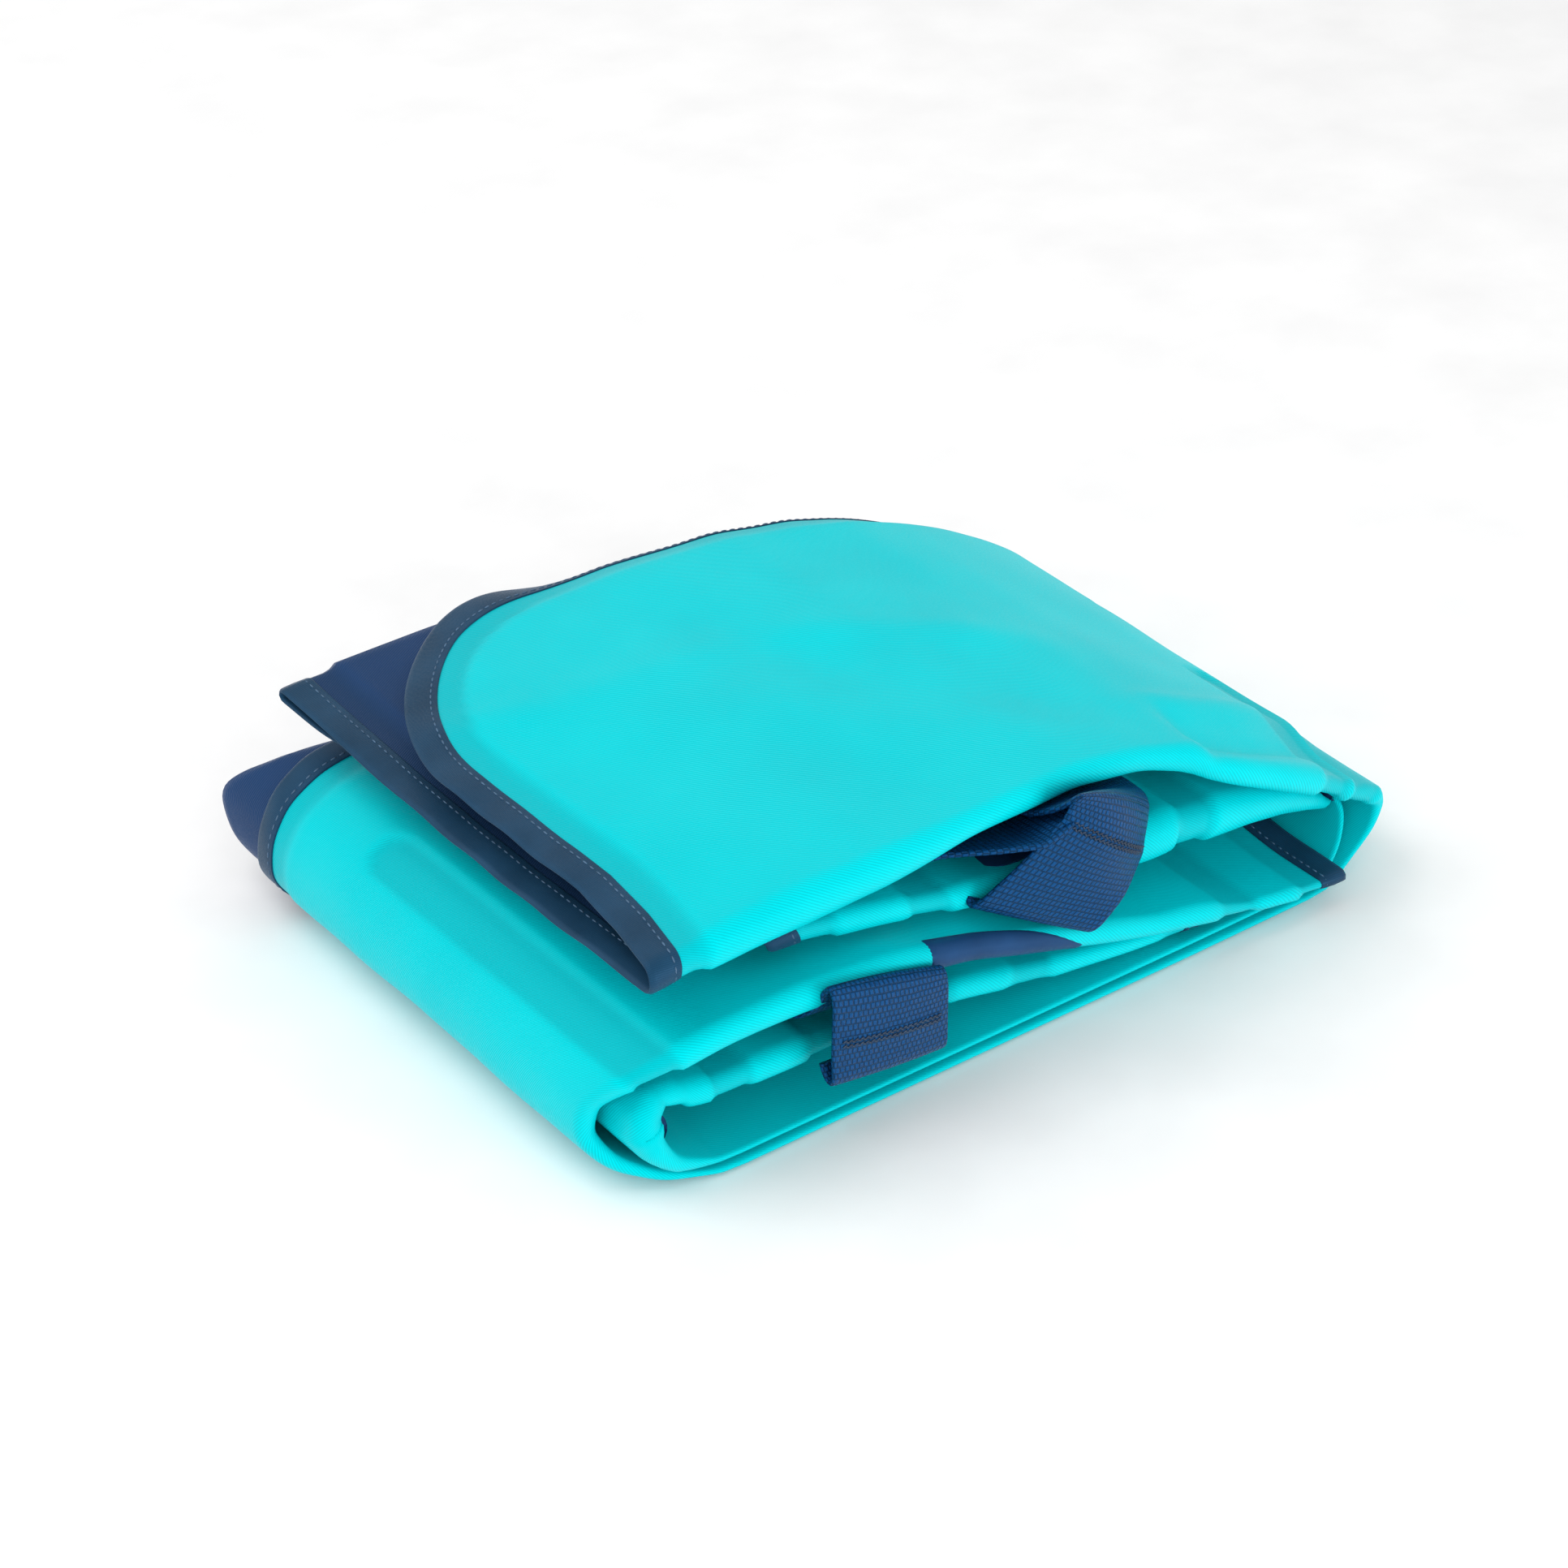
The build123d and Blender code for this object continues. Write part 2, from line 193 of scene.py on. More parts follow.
def wovenWebbing():
    # polypropylene webbing, flat woven: rows of glossy warp floats, with painted shade in the gaps between
    # them
    material, tree, shader = newMaterial("wovenPolypropyleneWebbing", webbing["roughness"],
                                         IOR=1.49, Specular_IOR_Level=0.5,
                                         Specular_Tint=linear(webbing["gloss"]))
    coords = addNode(tree, "ShaderNodeUVMap", uv_map="flat").outputs[0]
    drift = addNode(tree, "ShaderNodeTexNoise", {"Vector": coords, "Scale": 260.0, "Detail": 2.0})
    moved = addNode(tree, "ShaderNodeVectorMath", {0: drift.outputs["Color"], 1: (webbing["drift"],) * 3},
                    operation="MULTIPLY")
    uneven = addNode(tree, "ShaderNodeVectorMath", {0: coords, 1: moved.outputs[0]}, operation="ADD")
    turned = addNode(tree, "ShaderNodeMapping", {"Vector": uneven.outputs[0],
                                                 "Rotation": (0, 0, math.pi / 2)})
    floatsWithShadedGaps = addNode(tree, "ShaderNodeTexBrick",
                    {"Vector": turned.outputs[0], "Color1": linear("#FFFFFF"),
                     "Color2": linear("#D8D8D8"), "Mortar": linear("#000000"), "Scale": 1.0,
                     "Mortar Size": webbing["gap"], "Mortar Smooth": 1.0,
                     "Brick Width": webbing["column"], "Row Height": webbing["pick"]})
    yarn = addNode(tree, "ShaderNodeTexNoise", {"Vector": coords, "Scale": 900.0, "Detail": 3.0})
    tone = addNode(tree, "ShaderNodeMath", {0: floatsWithShadedGaps.outputs[0], 1: yarn.outputs[0]},
                   operation="MULTIPLY")
    # the floats take the lit colour and the gaps the deep one: painted shade between the floats
    colour = blendColours(tree, rangeOf(tree, tone.outputs[0], 0.08, 0.42), webbing["deep"],
                          webbing["lit"])
    tree.links.new(colour, shader.inputs["Base Color"])
    tree.links.new(rangeOf(tree, yarn.outputs[0], 0.3, 0.7, 0.28, 0.5), shader.inputs["Roughness"])
    bump = addNode(tree, "ShaderNodeBump", {"Height": tone.outputs[0], "Strength": 1.0,
                                            "Distance": 0.5 * mm})
    tree.links.new(bump.outputs[0], shader.inputs["Normal"])
    return material


def plainFinish(name, lit, deep, roughness, grain, depth, **shaderInputs):
    # one colour with slow tone changes, fine grain in roughness and bump, on object coordinates
    material, tree, shader = newMaterial(name, roughness, **shaderInputs)
    coords = addNode(tree, "ShaderNodeTexCoord").outputs["Object"]
    slow = addNode(tree, "ShaderNodeTexNoise", {"Vector": coords, "Scale": grain / 12, "Detail": 3.0})
    fine = addNode(tree, "ShaderNodeTexNoise", {"Vector": coords, "Scale": grain, "Detail": 4.0})
    colour = blendColours(tree, rangeOf(tree, slow.outputs[0], 0.3, 0.7), deep, lit)
    tree.links.new(colour, shader.inputs["Base Color"])
    rough = rangeOf(tree, fine.outputs[0], 0.3, 0.7, roughness - 0.06, roughness + 0.08)
    tree.links.new(rough, shader.inputs["Roughness"])
    bump = addNode(tree, "ShaderNodeBump", {"Height": fine.outputs[0], "Strength": 0.5,
                                            "Distance": depth})
    tree.links.new(bump.outputs[0], shader.inputs["Normal"])
    return material


tealTwill = coatedTwill("calenderedTealTwill", twill, tealColours)
navyTwill = coatedTwill("calenderedNavyTwill", twill, navyColours)
tapeWeave = foldedTape()
webbingWeave = wovenWebbing()
# thermoplastic polyurethane film, pressed on hot: smooth and a little waxy
weldedFilm = plainFinish("pressedPolyurethaneFilm", "#1E4470", "#1A3B62", 0.42, 900.0, 0.03 * mm,
                         Specular_Tint=linear("#5C8CC8"))
# bonded polyester thread: matt and dark, with a fine twist
threadFinish = plainFinish("twistedPolyesterThread", "#1D3A58", "#12263C", 0.55, 2500.0, 0.05 * mm)
paleThread = plainFinish("twistedPaleThread", "#4A6C8C", "#35536F", 0.5, 2500.0, 0.05 * mm)
# moulded thermoplastic: faint pebble from the tool
mouldedPlastic = plainFinish("mouldedPolyurethanePlastic", "#2B4F74", "#234363", 0.38, 1100.0, 0.04 * mm)
# silicone rubber, moulded: dull and soft to the eye
valveRubber = plainFinish("mouldedSiliconeRubber", "#9FA6AB", "#8A9298", 0.6, 800.0, 0.04 * mm)
# thin polyurethane film, extruded: milky
webFilm = plainFinish("milkyPolyurethaneWeb", "#C9E4E6", "#B4D3D6", 0.45, 600.0, 0.03 * mm)
print("materials made")


# The mat is pleated into four layers between five lines that run along it (back edge, front fold,
# back fold, inner front fold, inner back edge), then rolled into three panels. All in millimetres.
layerWidth = 182.0
cornerRadius = 75.0
endShortening = 44.0      # how much the third layer's end has curved in by the inner front fold
freeEndInset = 8.0        # how far the free end lies inside the plain rectangle at its corner
pathSmoothing = 7         # gaussian widths, in half-millimetre samples
depthSmoothing = 6

# x and z of the outer layer, then how deep below it each turn of the pleats lies:
# second layer front, back; third layer back, front; fourth layer front, back
rollStations = [
    (-129.0, 74.2, 8.0, 6.5, 9.5, 13.0, 18.5, 17.0),      # free end, on top
    (-100.0, 76.6, 9.0, 8.5, 12.5, 13.5, 19.0, 18.0),
    (-78.0, 77.6, 9.8, 9.0, 13.5, 13.3, 19.3, 18.0),
    (-50.0, 78.0, 9.0, 9.5, 14.0, 19.0, 25.0, 21.0),
    (-20.0, 77.8, 6.5, 9.0, 14.0, 25.5, 31.5, 28.0),
    (20.0, 76.2, 5.6, 8.5, 15.0, 28.0, 36.0, 32.0),
    (45.0, 72.6, 6.0, 8.5, 15.0, 26.5, 37.5, 33.0),
    (62.0, 68.5, 7.6, 9.0, 14.0, 24.0, 36.0, 31.0),
    (80.0, 61.5, 9.0, 8.5, 13.0, 20.0, 31.0, 26.0),
    (98.0, 53.0, 9.2, 8.0, 11.0, 15.0, 24.5, 21.0),
    (112.0, 45.5, 9.0, 7.4, 9.5, 12.5, 20.0, 17.5),
    (124.0, 37.5, 8.4, 6.4, 8.5, 11.0, 16.5, 15.0),
    (134.0, 29.0, 7.2, 5.0, 7.5, 11.5, 14.5, 14.0),
    (139.0, 21.5, 3.2, 3.0, 5.0, 9.0, 12.0, 12.0),        # right-hand crease
    (135.0, 13.0, 2.4, 2.4, 4.0, 7.0, 9.0, 9.0),
    (126.0, 6.0, 1.8, 1.8, 3.4, 5.0, 6.5, 6.5),
    (113.0, 1.3, 1.5, 1.5, 3.0, 3.0, 4.5, 4.5),           # on the floor
    (60.0, 0.9, 1.5, 1.5, 3.0, 3.0, 4.5, 4.5),
    (-60.0, 0.9, 1.5, 1.5, 3.0, 3.0, 4.5, 4.5),
    (-106.0, 1.0, 1.5, 1.5, 3.0, 3.0, 4.5, 4.5),
    (-122.0, 2.6, 2.4, 1.9, 3.4, 5.0, 9.0, 5.6),          # left-hand bend
    (-134.0, 7.4, 3.6, 3.0, 4.6, 9.0, 17.0, 10.0),
    (-140.6, 16.5, 4.6, 4.0, 6.0, 9.5, 18.5, 14.0),
    (-139.4, 28.5, 5.6, 5.0, 7.5, 9.5, 16.5, 17.0),
    (-133.5, 39.5, 6.4, 6.0, 9.0, 12.0, 18.5, 19.0),
    (-122.0, 46.8, 6.8, 7.0, 11.0, 18.0, 25.0, 22.0),
    (-108.0, 49.2, 6.8, 8.0, 14.0, 21.5, 28.0, 24.0),     # middle panel
    (-78.0, 49.8, 6.8, 8.0, 14.0, 22.5, 29.0, 25.0),
    (-48.0, 46.6, 6.2, 8.0, 13.0, 20.0, 26.0, 23.0),
    (-20.0, 41.0, 6.0, 7.0, 11.0, 16.5, 22.0, 20.0),
    (18.0, 29.6, 6.0, 5.0, 8.0, 13.0, 18.0, 16.0),
    (45.0, 21.6, 5.0, 4.0, 6.5, 9.0, 13.0, 12.0),
    (80.0, 17.0, 6.4, 3.6, 5.2, 7.0, 10.0, 8.6),
    (115.0, 18.0, 11.0, 4.0, 6.0, 11.4, 13.0, 9.0),       # inner end
]
# y of each line along the mat, as (row of the table above, y)
lineRuns = {
    "backEdge": [(0, 84), (2, 92), (3, 93.5), (4, 94.5), (6, 92), (9, 90), (12, 88), (16, 88),
                 (24, 90), (28, 90), (33, 86)],
    "frontFold": [(0, -88.5), (3, -88), (4, -86), (5, -82.5), (6, -83), (7, -85.5), (8, -89),
                  (9, -90), (13, -86), (15, -87), (16, -90), (19, -91), (20, -86), (21, -79),
                  (22, -73.5), (23, -74), (24, -84), (25, -90), (26, -91), (30, -92), (33, -95)],
    "backFold": [(0, 96), (4, 95), (8, 88), (13, 86), (16, 90), (20, 95), (22, 107), (23, 117),
                 (24, 108), (25, 102), (28, 95), (33, 90)],
    "innerFold": [(0, -82.5), (8, -83), (11, -80), (13, -74), (15, -84), (16, -89), (19, -90),
                  (20, -90), (21, -88), (22, -87), (23, -86), (24, -84), (26, -85), (33, -88)],
    "innerEdge": [(0, 84), (13, 78), (16, 86), (33, 84)],
}


def smoothed(values, sigma):
    # gaussian smoothing along the mat that keeps both ends where they are
    reach = int(4 * sigma)
    kernel = np.exp(-0.5 * (np.arange(-reach, reach + 1) / sigma) ** 2)
    head = 2 * values[0] - values[reach:0:-1]
    tail = 2 * values[-1] - values[-2:-reach - 2:-1]
    return np.convolve(np.concatenate([head, values, tail]), kernel / kernel.sum(), "valid")


table = np.array(rollStations)
steps = np.hypot(np.diff(table[:, 0]), np.diff(table[:, 1]))
stationRun = np.concatenate([[0], np.cumsum(steps)])
rollLength = stationRun[-1]
fineRun = np.linspace(0, rollLength, int(rollLength * 2))   # a sample each half millimetre
rowRun = np.arange(len(table))
fine = {"x": smoothed(np.interp(fineRun, stationRun, table[:, 0]), pathSmoothing),
        "z": smoothed(np.interp(fineRun, stationRun, table[:, 1]), pathSmoothing)}
for column, name in enumerate(("f2", "b2", "b3", "f3", "f4", "b4")):
    fine[name] = smoothed(np.interp(fineRun, stationRun, table[:, column + 2]), depthSmoothing)
for name, run in lineRuns.items():
    rows, ys = zip(*run)
    byRow = np.interp(rowRun, rows, ys)
    fine[name] = smoothed(np.interp(fineRun, stationRun, byRow), depthSmoothing)
slopeX, slopeZ = np.gradient(fine["x"]), np.gradient(fine["z"])
slope = np.hypot(slopeX, slopeZ)
fine["nx"] = smoothed(-slopeZ / slope, depthSmoothing)
fine["nz"] = smoothed(slopeX / slope, depthSmoothing)


def runAt(row):
    # distance along the mat of a table row, which may be a fraction
    return float(np.interp(row, rowRun, stationRun))


def topRun(x):
    # distance along the mat of a place on the top panel
    return float(np.interp(x, table[:14, 0], stationRun[:14]))


def middleRun(x):
    # distance along the mat of a place on the middle panel
    return float(np.interp(x, table[25:, 0], stationRun[25:]))


def ease(t):
    # nought to one with a soft start and end
    t = np.clip(t, 0, 1)
    return t * t * (3 - 2 * t)


# the tuck in front of the wrap, the inner end's hollow and the drooping back edge, in millimetres
slump = {"tuck": 3.6, "tuckFrom": topRun(63), "tuckTo": topRun(136), "hollow": 7.5,
         "hollowFrom": middleRun(50), "tuckReach": 146, "hollowReach": 100, "reachEnd": 166,
         "droop": 8.5, "droopFrom": topRun(-72), "droopTo": topRun(136), "droopWidth": 19}
# how far the second layer sags between its folds, by distance from the free end
sagRun = ((0, 40, 110, 160), (4.2, 2.4, 1.0, 0.0))


def pleat(f, v):
    # y and depth of a point of the pleated cross section, v millimetres from the back edge
    y = np.zeros_like(v)
    depth = np.zeros_like(v)
    folds = [("frontFold", -1, f["drop"], f["f2"]), ("backFold", 1, f["b2"], f["b3"]),
             ("innerFold", -1, f["f3"], f["f4"])]
    startY, startDepth, startV = f["backEdge"], 0 * v, 0 * v
    for number, (line, side, near, far) in enumerate(folds + [("innerEdge", 1, f["b4"], f["b4"])]):
        radius = (far - near) / 2
        turn = math.pi * radius / 2
        foldV = (number + 1) * layerWidth
        flatEnd = f[line] - side * radius
        t = (v - startV) / (foldV - turn - startV)
        onFlat = (v >= startV) | (number == 0)
        if number < 3:
            onFlat = onFlat & (v <= foldV - turn + 1e-6)
        sag = f["sag"] * 4 * np.clip(t * (1 - t), 0, 1) if number == 1 else 0
        y = np.where(onFlat, startY + (flatEnd - startY) * t, y)
        # the first layer drops only beside the front fold, and its back edge droops
        share = ease(t)
        if number == 0:
            share = ease((v - f["reach"]) / (slump["reachEnd"] - f["reach"]))
        droop = f["droop"] * np.clip(1 - v / slump["droopWidth"], 0, 1.2) ** 2 if number == 0 else 0
        depth = np.where(onFlat, startDepth + (near - startDepth) * share + sag + droop, depth)
        angle = (v - foldV + turn) / np.maximum(radius, 1e-6)
        inTurn = (v > foldV - turn) & (v < foldV + turn) & (number < 3)
        y = np.where(inTurn, flatEnd + side * radius * np.sin(angle), y)
        depth = np.where(inTurn, near + radius * (1 - np.cos(angle)), depth)
        startY, startDepth, startV = flatEnd, far, foldV + turn
    return y, depth


def foldPoint(u, v):
    # where a point of the flat mat lies once it is folded up, u along it and v across it
    f = {name: np.interp(u, fineRun, values) for name, values in fine.items()}
    f["sag"] = np.interp(u, *sagRun)
    tuck = slump["tuck"] * ease((u - slump["tuckFrom"]) / 9) * ease((slump["tuckTo"] - u) / 14)
    f["drop"] = tuck + slump["hollow"] * ease((u - slump["hollowFrom"]) / 60)
    f["reach"] = np.where(u > rollLength / 2, slump["hollowReach"], slump["tuckReach"])
    f["droop"] = ease((u - slump["droopFrom"]) / 50) * ease((slump["droopTo"] - u) / 20) * slump["droop"]
    y, depth = pleat(f, v)
    return np.stack([f["x"] - f["nx"] * depth, y, f["z"] - f["nz"] * depth], -1)


def foldNormal(u, v):
    # direction out of the teal side of the mat, from the slopes over a short distance
    d = 0.5
    along = foldPoint(u + d, v) - foldPoint(u - d, v)
    across = foldPoint(u, v + d) - foldPoint(u, v - d)
    normal = np.cross(across, along)
    return normal / np.maximum(np.linalg.norm(normal, axis=-1, keepdims=True), 1e-9)


def capsule(u, v, start, end):
    # distance from a straight run on the flat mat, and how far along it
    a, b = np.array(start), np.array(end)
    ab = b - a
    t = np.clip(((u - a[0]) * ab[0] + (v - a[1]) * ab[1]) / (ab @ ab), 0, 1)
    return np.hypot(u - a[0] - t * ab[0], v - a[1] - t * ab[1]), t


def edgeDistance(u, v):
    # distance on the flat mat to its outline, with the rounded corners
    plain = np.minimum(np.minimum(u - endOffset(v) - freeEndWave(v), rollLength - endOffset(v) - u), v)
    plain = np.minimum(plain, 4 * layerWidth - v)
    du = np.where(u < rollLength / 2, cornerRadius + freeEndInset - u, u - rollLength + cornerRadius)
    dv = cornerRadius - v
    corner = cornerRadius - np.hypot(du, dv)
    return np.where((du > 0) & (dv > 0), corner, plain)


def endOffset(v):
    # both ends curve inwards over the two inner layers
    return endShortening * np.clip((v - 2 * layerWidth) / layerWidth, 0, 2) ** 1.5


def freeEndWave(v):
    # the free end isn't straight: it waves in and out beside the front fold
    places = [0, 118, 138, 158, layerWidth, 215, 2 * layerWidth, 420]
    return np.interp(v, places, [freeEndInset, freeEndInset, 8.6, 6.5, 2, 3, 3.5, 0])


def toOutline(u, v):
    # turns a plain rectangle of the grid into the mat's outline: rounded corners, curved ends
    farEnd = u > rollLength / 2
    a = cornerRadius - np.where(farEnd, rollLength - u, u)
    b = cornerRadius - v
    a, b = a / cornerRadius, b / cornerRadius
    inCorner = (a > 0) & (b > 0)
    safeA, safeB = np.clip(a, 0, 1), np.clip(b, 0, 1)
    newA = np.where(inCorner, safeA * np.sqrt(1 - safeB ** 2 / 2), a)
    newB = np.where(inCorner, safeB * np.sqrt(1 - safeA ** 2 / 2), b)
    fromEnd = cornerRadius * (1 - newA)
    shift = endOffset(v) + np.where(farEnd, 0, freeEndWave(v))
    fromEnd = fromEnd + shift * np.clip(1 - fromEnd / 300, 0, 1)
    return np.where(farEnd, rollLength - fromEnd, fromEnd), cornerRadius * (1 - newB)


# half the width of a welded strip, the welded margin, and how softly a weld ends
weldShape = {"halfWidth": 7.0, "margin": 17.0, "step": 2.6}
# half the mat's thickness at a weld, at its fullest, and its share of the room in the fold
puffShape = {"thin": 0.35, "full": 2.0, "share": 0.24}
# welded strips that run across the mat: distance along it, from, to (distance from the back edge)
welds = [(runAt(24.55), 56, 330), (topRun(118), 120, 330), (topRun(131), 60, 330),
         (middleRun(75), 130, 330), (topRun(-70), 400, 640)]
welds += [(topRun(x), 400, 660) for x in (-30, 20, 75)]
welds += [(middleRun(-100 + 36 * number), 400, 660) for number in range(4)]
# soft creases: start and end on the flat mat, width, height
creases = [
    ((topRun(-114), 46), (topRun(-79), 67), 8.0, 0.9),
    ((topRun(-79), 67), (topRun(-9), 69), 9.0, 1.0),
    ((topRun(-9), 69), (topRun(63), 110), 9.0, 0.9),
    ((topRun(-9), 74), (topRun(-2), 107), 11.0, -0.7),
    ((topRun(-2), 107), (topRun(50), 158), 11.0, -0.8),
    ((topRun(60), 150), (topRun(118), 146), 6.0, 1.3),      # rim above the tuck on the right
    ((topRun(66), 170), (topRun(118), 168), 4.5, -1.8),
    ((middleRun(-100), 150), (middleRun(-10), 170), 9.0, -0.5),
]


def weldAmount(u, v):
    # one where the two skins are welded together, nought where they are free
    d = weldShape["step"]
    amount = ease((weldShape["margin"] + d / 2 - edgeDistance(u, v)) / d)
    for run, start, end in welds:
        away, _ = capsule(u, v, (run, start), (run, end))
        amount = np.maximum(amount, ease((weldShape["halfWidth"] + d / 2 - away) / d))
    return amount


# heights in millimetres: slow waves, more of them in the flap, fine waves, puckers and fullness
waves = {"slow": 0.35, "flap": 0.5, "fine": 0.18, "pucker": 0.32, "crown": 1.2}


def wrinkle(u, v):
    # slow waves of slack cloth, puckers beside the binding and the creases listed above
    slack = waves["slow"] + waves["flap"] * ease((250 - u) / 60) * ease((layerWidth - v) / 30)
    height = slack * np.sin(u / 17 + 1.3 * np.sin(v / 31)) * np.sin(v / 23 + 0.7 + 0.8 * np.sin(u / 41))
    height += waves["fine"] * np.sin(u / 7.3 + v / 19 + 1.1) * np.sin(v / 9.1 - u / 33)
    fromEdge = edgeDistance(u, v)
    height = height * ease((fromEdge - 4) / 25)
    pucker = waves["pucker"] * np.sin((u + v) / 5.6 + 2 * np.sin((u - v) / 27))
    height = height + pucker * np.exp(-np.clip(fromEdge, 0, None) / 9)
    for start, end, width, rise in creases:
        away, t = capsule(u, v, start, end)
        fade = ease(t / 0.25) * ease((1 - t) / 0.25)
        height = height + rise * np.exp(-(away / width) ** 2) * (0.25 + 0.75 * fade)
    crown = waves["crown"] * np.sin(math.pi * np.clip(v / layerWidth, 0, 1)) * ease((200 - u) / 60)
    floorPart = ease((u - runAt(15)) / 12) * ease((runAt(20) - u) / 12)
    return height * (1 - floorPart) + crown - 0.4


def halfThickness(u, v):
    # fuller where the folds leave room, thin where the skins are welded
    layer = np.clip((v // layerWidth).astype(int), 0, 3)
    room = np.interp(u, fineRun, fine["f2"])
    deeper = np.interp(u, fineRun, fine["f4"] - fine["f3"])
    room = np.where(layer < 2, room, deeper)
    full = np.clip(puffShape["share"] * room - 0.1, puffShape["thin"], puffShape["full"])
    return puffShape["thin"] + (full - puffShape["thin"]) * (1 - weldAmount(u, v))


def matPoint(u, v, lift):
    # a point lifted off the middle of the mat towards its teal side
    u, v = np.asarray(u, float), np.asarray(v, float)
    return foldPoint(u, v) + foldNormal(u, v) * (lift + wrinkle(u, v))[..., None]


def spaced(spans):
    # grid lines from (start, end, spacing) spans
    lines = [spans[0][0]]
    for start, end, gap in spans:
        count = max(1, round((end - start) / gap))
        lines += list(start + (end - start) * (np.arange(count) + 1) / count)
    return np.array(lines)


across = spaced([(0, 168, 2.4), (168, 196, 0.9), (196, 346, 5), (346, 382, 1.3), (382, 526, 5),
                 (526, 566, 1.1), (566, 4 * layerWidth, 6)])
joinRun = runAt(15.6)      # the top panel's skins end here, where the wrap reaches the floor
alongTop = spaced([(0, runAt(11), 2.4), (runAt(11), joinRun, 1.3)])
alongLower = spaced([(joinRun, runAt(16), 1.5), (runAt(16), runAt(19), 7), (runAt(19), runAt(26), 1.5),
                     (runAt(26), runAt(29), 2.4), (runAt(29), rollLength, 3.2)])


def gridPiece(name, rows, columns, place, material, weld=None, flipped=False):
    # a grid whose vertices are moved by place(u, v); flat coordinates become its UV map
    bm = bmesh.new()
    bmesh.ops.create_grid(bm, x_segments=len(rows) - 1, y_segments=len(columns) - 1, size=0.5)
    co = np.array([v.co[:2] for v in bm.verts])
    i = np.rint((co[:, 0] + 0.5) * (len(rows) - 1)).astype(int)
    j = np.rint((co[:, 1] + 0.5) * (len(columns) - 1)).astype(int)
    spots, flat = place(rows[i], columns[j])
    uvLayer = bm.loops.layers.uv.new("flat")
    for vert, spot in zip(bm.verts, spots * mm):
        vert.co = spot
    for face in bm.faces:
        face.smooth = True
        for loop in face.loops:
            loop[uvLayer].uv = flat[loop.vert.index] * mm
    if flipped:
        bmesh.ops.reverse_faces(bm, faces=bm.faces)
    mesh = bpy.data.meshes.new(name)
    bm.to_mesh(mesh)
    bm.free()
    if weld is not None:
        layer = mesh.attributes.new("weld", "FLOAT", "POINT")
        layer.data.foreach_set("value", weld(flat[:, 0], flat[:, 1]).astype(np.float32))
    mesh.materials.append(material)
    piece = bpy.data.objects.new(name, mesh)
    bpy.context.scene.collection.objects.link(piece)
    return piece


def skin(name, rows, side, material):
    # one face of the mat, side 1 the teal one and -1 the navy one
    def place(u, v):
        u, v = toOutline(u, v)
        return matPoint(u, v, side * halfThickness(u, v)), np.stack([u, v], -1)
    return gridPiece(name, rows, across, place, material, weldAmount, flipped=side > 0)


topPanelFace = skin("topPanelFace", alongTop, 1, tealTwill)
topPanelUnderside = skin("topPanelUnderside", alongTop, -1, navyTwill)
lowerMatFace = skin("lowerMatFace", alongLower, 1, tealTwill)
lowerMatUnderside = skin("lowerMatUnderside", alongLower, -1, navyTwill)
print("skins folded")


# the binding tape, in millimetres; stitchIn is how far the thread is from the tape's inner edge
bindingShape = {"width": 9.3, "tape": 0.45, "step": 1.5, "stitchIn": 2.0, "stitchPitch": 3.0,
                "stitch": 2.3, "thread": 0.24}


def outlineRun(corners):
    # points on the mat's outline and the direction inwards, from corners of the plain grid
    points = []
    for (u0, v0), (u1, v1) in zip(corners, corners[1:]):
        count = max(1, round(math.hypot(u1 - u0, v1 - v0)))     # about one a millimetre
        t = np.arange(count) / count
        points += list(np.stack([u0 + (u1 - u0) * t, v0 + (v1 - v0) * t], -1))
    points.append(corners[-1])
    points = np.array(points, float)
    u, v = toOutline(points[:, 0], points[:, 1])
    run = np.concatenate([[0], np.cumsum(np.hypot(np.diff(u), np.diff(v)))])
    even = np.arange(0, run[-1], bindingShape["step"])
    u, v = np.interp(even, run, u), np.interp(even, run, v)
    du, dv = np.gradient(u), np.gradient(v)
    size = np.hypot(du, dv)
    inward = np.stack([smoothed(-dv / size, 3), smoothed(du / size, 3)], -1)
    return np.stack([u, v], -1), inward / np.linalg.norm(inward, axis=1)[:, None]


def bindingPiece(name, edge, inward):
    # tape folded over the edge: its section goes in on the teal side, round the edge and back
    w, t = bindingShape["width"], bindingShape["tape"]
    thin = puffShape["thin"]
    upper = [(w, thin - 0.1), (w, thin + t * 0.8), (w - 0.4, thin + t), (w * 0.5, thin + t * 1.2),
             (1.2, thin + t), (0.2, thin + t * 0.7), (-0.5, thin * 0.6)]
    section = np.array(upper + [(-0.65, 0)] + [(a, -b) for a, b in upper[::-1]])

    def place(i, j):
        i, j = i.astype(int), j.astype(int)
        flat = edge[i] + inward[i] * section[j, 0:1]
        # the back takes another part of the weave, so that its two faces differ
        tapeFlat = np.stack([i * bindingShape["step"], section[j, 0] + 20 * (section[j, 1] < 0)], -1)
        return matPoint(flat[:, 0], flat[:, 1], section[j, 1]), tapeFlat
    rows, columns = np.arange(len(edge)), np.arange(len(section))
    return gridPiece(name, rows, columns, place, tapeWeave, flipped=True)


